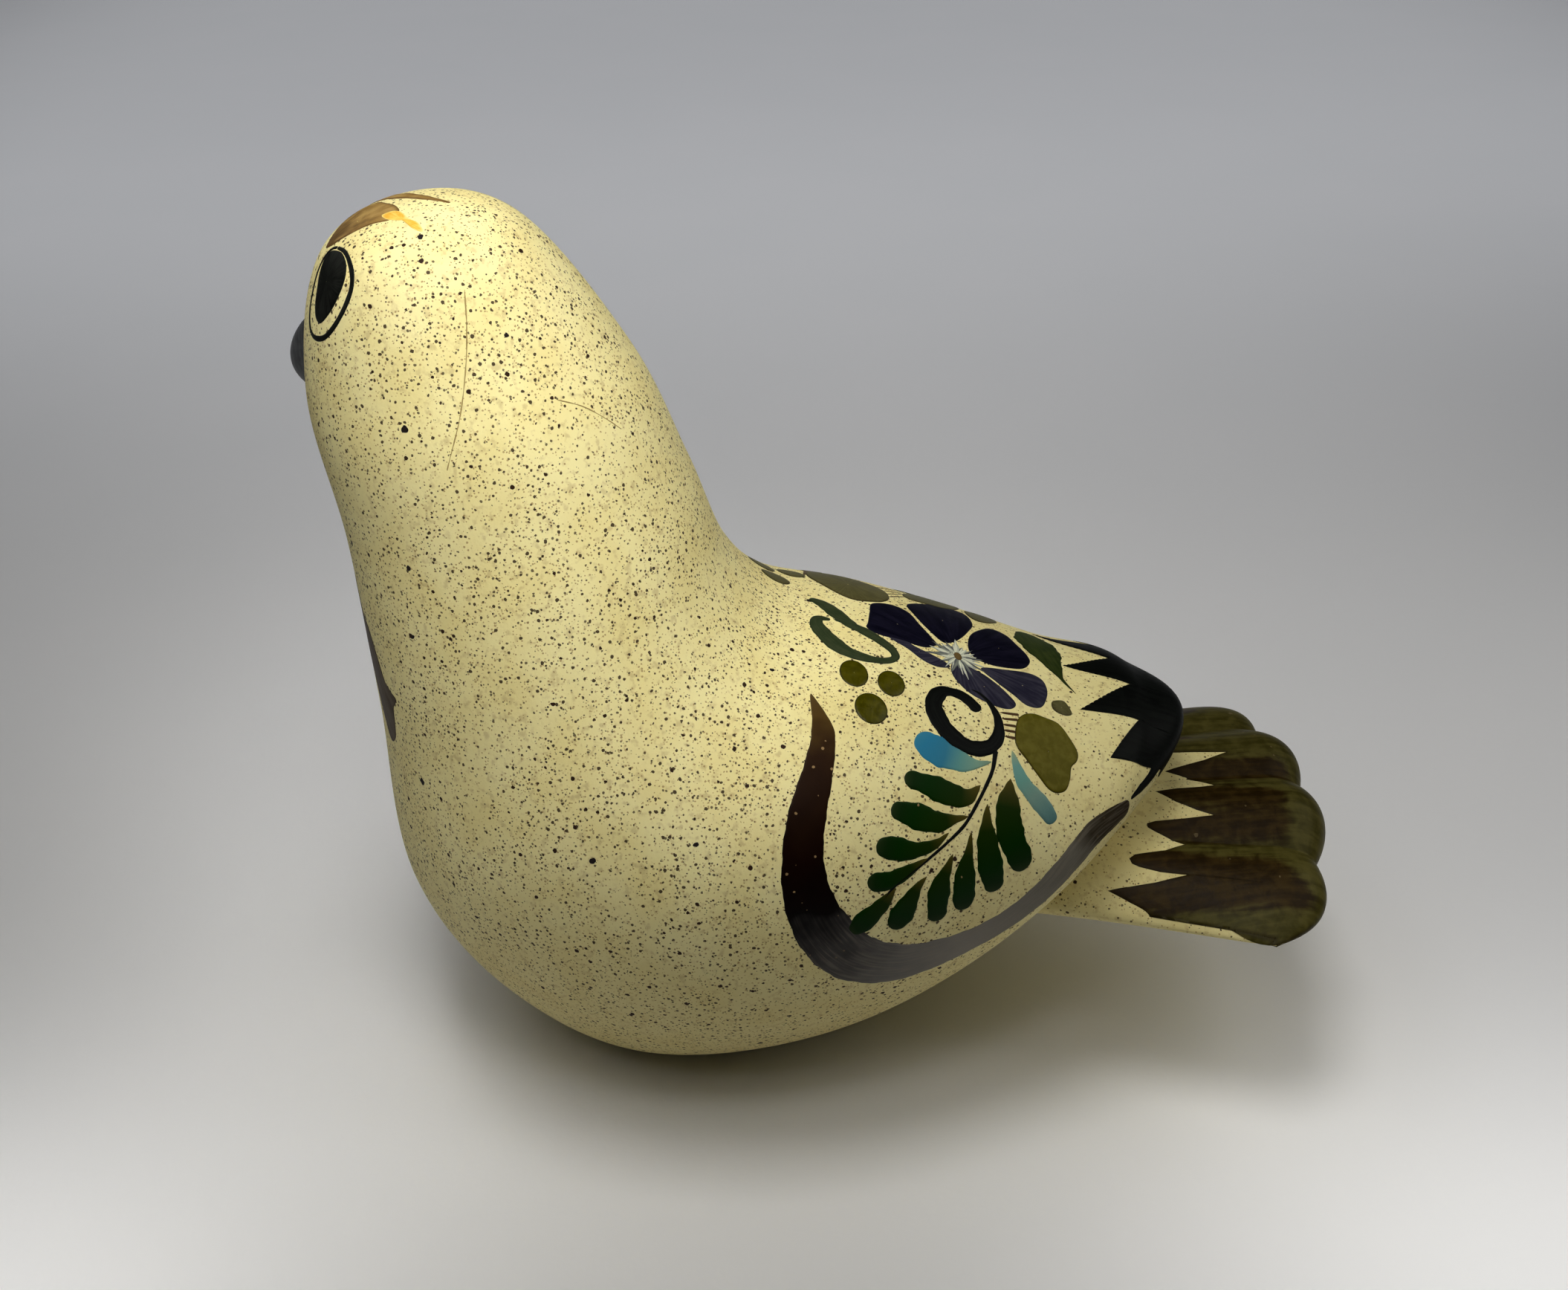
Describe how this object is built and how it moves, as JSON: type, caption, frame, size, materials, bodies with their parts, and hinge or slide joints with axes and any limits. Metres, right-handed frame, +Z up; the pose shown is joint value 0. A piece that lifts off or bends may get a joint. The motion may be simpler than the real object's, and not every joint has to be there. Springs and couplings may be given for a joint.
{
  "type": "bird figurine",
  "caption": "Hollow stoneware dove with a raised neck, a turned head, a small beak and a fluted tail fan, resting on a small flat foot.",
  "frame": {"origin": "on the ground, under the middle of the whole bird's bounding box", "axes": "+Z up, +Y from the breast towards the tail, +X towards the bird's left side"},
  "size_m": [0.0936, 0.1758, 0.1567],
  "materials": {
    "body_clay": "matte cream-yellow stoneware with fine dark specks",
    "raw_clay": "unglazed clay",
    "tail_glaze": "satin olive-brown brushed glaze",
    "beak_glaze": "satin dark grey glaze"
  },
  "bodies": {
    "root": {"body_left_half": "body_clay", "body_right_half": "body_clay", "seam_coil": "raw_clay", "tail_fan": "tail_glaze", "beak": "beak_glaze"}
  },
  "joints": []
}
